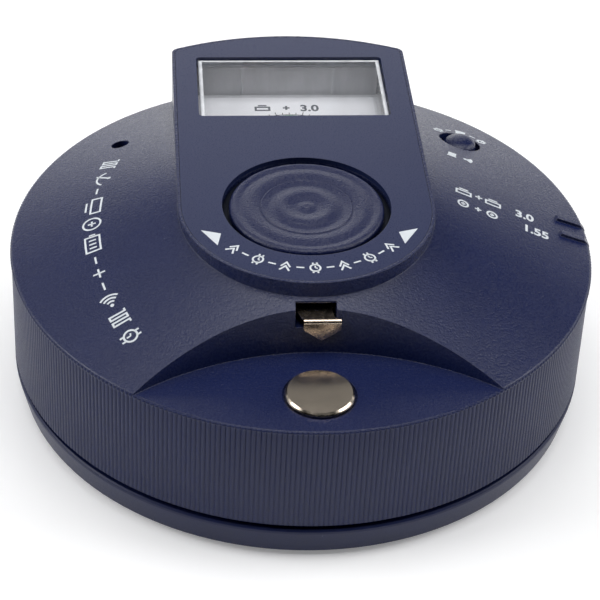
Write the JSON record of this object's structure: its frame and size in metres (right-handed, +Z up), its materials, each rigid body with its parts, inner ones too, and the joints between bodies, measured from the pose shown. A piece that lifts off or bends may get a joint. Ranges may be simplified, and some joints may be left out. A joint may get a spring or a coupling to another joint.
{
  "type": "watch and battery tester",
  "caption": "Round bench tester for quartz watches and coin cells, with a ribbed case, sensing pad, needle meter, sliding sprung contact arm over a contact disc, and a test button.",
  "frame": {"origin": "centre of the round case, on the plane its four feet stand on", "axes": "+Z up; the contact step faces -Y; the test button and selector are on the +X side"},
  "size_m": [0.1046, 0.1046, 0.0405],
  "materials": {
    "case_plastic": "fine-grained moulded navy plastic",
    "fascia_plastic": "satin navy plastic",
    "base_plastic": "smooth satin navy plastic",
    "pad_rubber": "grained stiff navy rubber",
    "black_rubber": "matte black rubber",
    "foam": "soft grey foam",
    "screw_steel": "zinc plated",
    "nickel_plate": "polished nickel plate with light wear",
    "arm_plate": "nickel-plated spring strip",
    "clear_plastic": "clear moulded acrylic",
    "dial_white": "white lacquer with printed scale",
    "grey_plastic": "grey moulded plastic",
    "magnet_alloy": "sintered magnet",
    "soft_iron": "turned soft iron",
    "bright_brass": "machined",
    "copper_wire": "enamelled copper winding",
    "needle_red": "matte paint",
    "board_green": "lacquered fibreglass board",
    "component_black": "moulded black plastic",
    "component_tan": "lacquered resistor body",
    "component_blue": "shrink sleeve",
    "bobbin_white": "natural nylon",
    "ferrite": "sintered ferrite",
    "battery_wrap": "printed film over a steel can",
    "lead_sleeve": "PVC insulation",
    "knob_black": "ribbed black plastic"
  },
  "bodies": {
    "case": {"base_tray": "base_plastic", "door_pin": "screw_steel", "rubber_feet": "black_rubber", "case_screws": "screw_steel", "top_case": "case_plastic", "fascia": "fascia_plastic", "sensor_pad": "pad_rubber", "pad_foam_ring": "foam", "coil_bobbin": "bobbin_white", "coil_winding": "copper_wire", "ferrite_core": "ferrite", "main_board": "board_green", "board_screws": "screw_steel", "ic_chip": "component_black", "resistors": "component_tan", "capacitors": "component_blue", "trimmer": "component_blue", "transistor": "component_black", "meter_cover": "clear_plastic", "meter_body": "grey_plastic", "scale_plate": "dial_white", "meter_magnet": "magnet_alloy", "meter_core": "soft_iron", "meter_bridge": "bright_brass", "pivot_jewels": "bright_brass", "meter_terminals": "bright_brass", "tact_switch": "component_black", "selector_switch": "screw_steel", "buzzer_case": "component_black", "piezo_disc": "bright_brass", "battery_9v": "battery_wrap", "battery_terminals": "screw_steel", "snap_cap": "black_rubber", "battery_leads": "lead_sleeve", "meter_leads": "lead_sleeve", "contact_disc": "nickel_plate", "disc_washer": "screw_steel", "disc_nut": "screw_steel", "disc_lead": "lead_sleeve", "arm_guide": "component_black", "guide_screws": "screw_steel"},
    "battery_door": {"battery_door": "base_plastic"},
    "test_button": {"test_button": "case_plastic", "tact_plunger": "component_black"},
    "selector": {"selector_knob": "knob_black"},
    "arm_slider": {"arm_slider": "component_black", "arm_pin": "screw_steel"},
    "contact_arm": {"contact_arm": "arm_plate"},
    "meter_movement": {"moving_coil": "copper_wire", "meter_spindle": "screw_steel", "hairspring": "bright_brass", "pointer": "needle_red"}
  },
  "joints": [
    {"name": "door_hinge", "type": "hinge", "parent": "case", "child": "battery_door", "pos_m": [0, 0.0093, 0.0026], "axis": [1, 0, 0], "range_deg": [0, 95]},
    {"name": "button_press", "type": "slide", "parent": "case", "child": "test_button", "axis": [0, 0, -1], "range_m": [0, 0.0005], "stiffness_N_per_m": 1000, "springref_m": -0.0005},
    {"name": "selector_slide", "type": "slide", "parent": "case", "child": "selector", "axis": [0, 1, 0], "range_m": [0, 0.0047]},
    {"name": "arm_slide", "type": "slide", "parent": "case", "child": "arm_slider", "axis": [0, -1, 0], "range_m": [0, 0.012]},
    {"name": "arm_tilt", "type": "hinge", "parent": "arm_slider", "child": "contact_arm", "pos_m": [0, -0.008, 0.035], "axis": [-1, 0, 0], "range_deg": [0, 4.2], "stiffness_Nm_per_rad": 0.01, "springref_deg": -5.73},
    {"name": "needle_turn", "type": "hinge", "parent": "case", "child": "meter_movement", "pos_m": [0, 0.0255, 0.027], "axis": [0, 0, -1], "range_deg": [0, 84], "stiffness_Nm_per_rad": 0.00002, "springref_deg": -5.73}
  ]
}
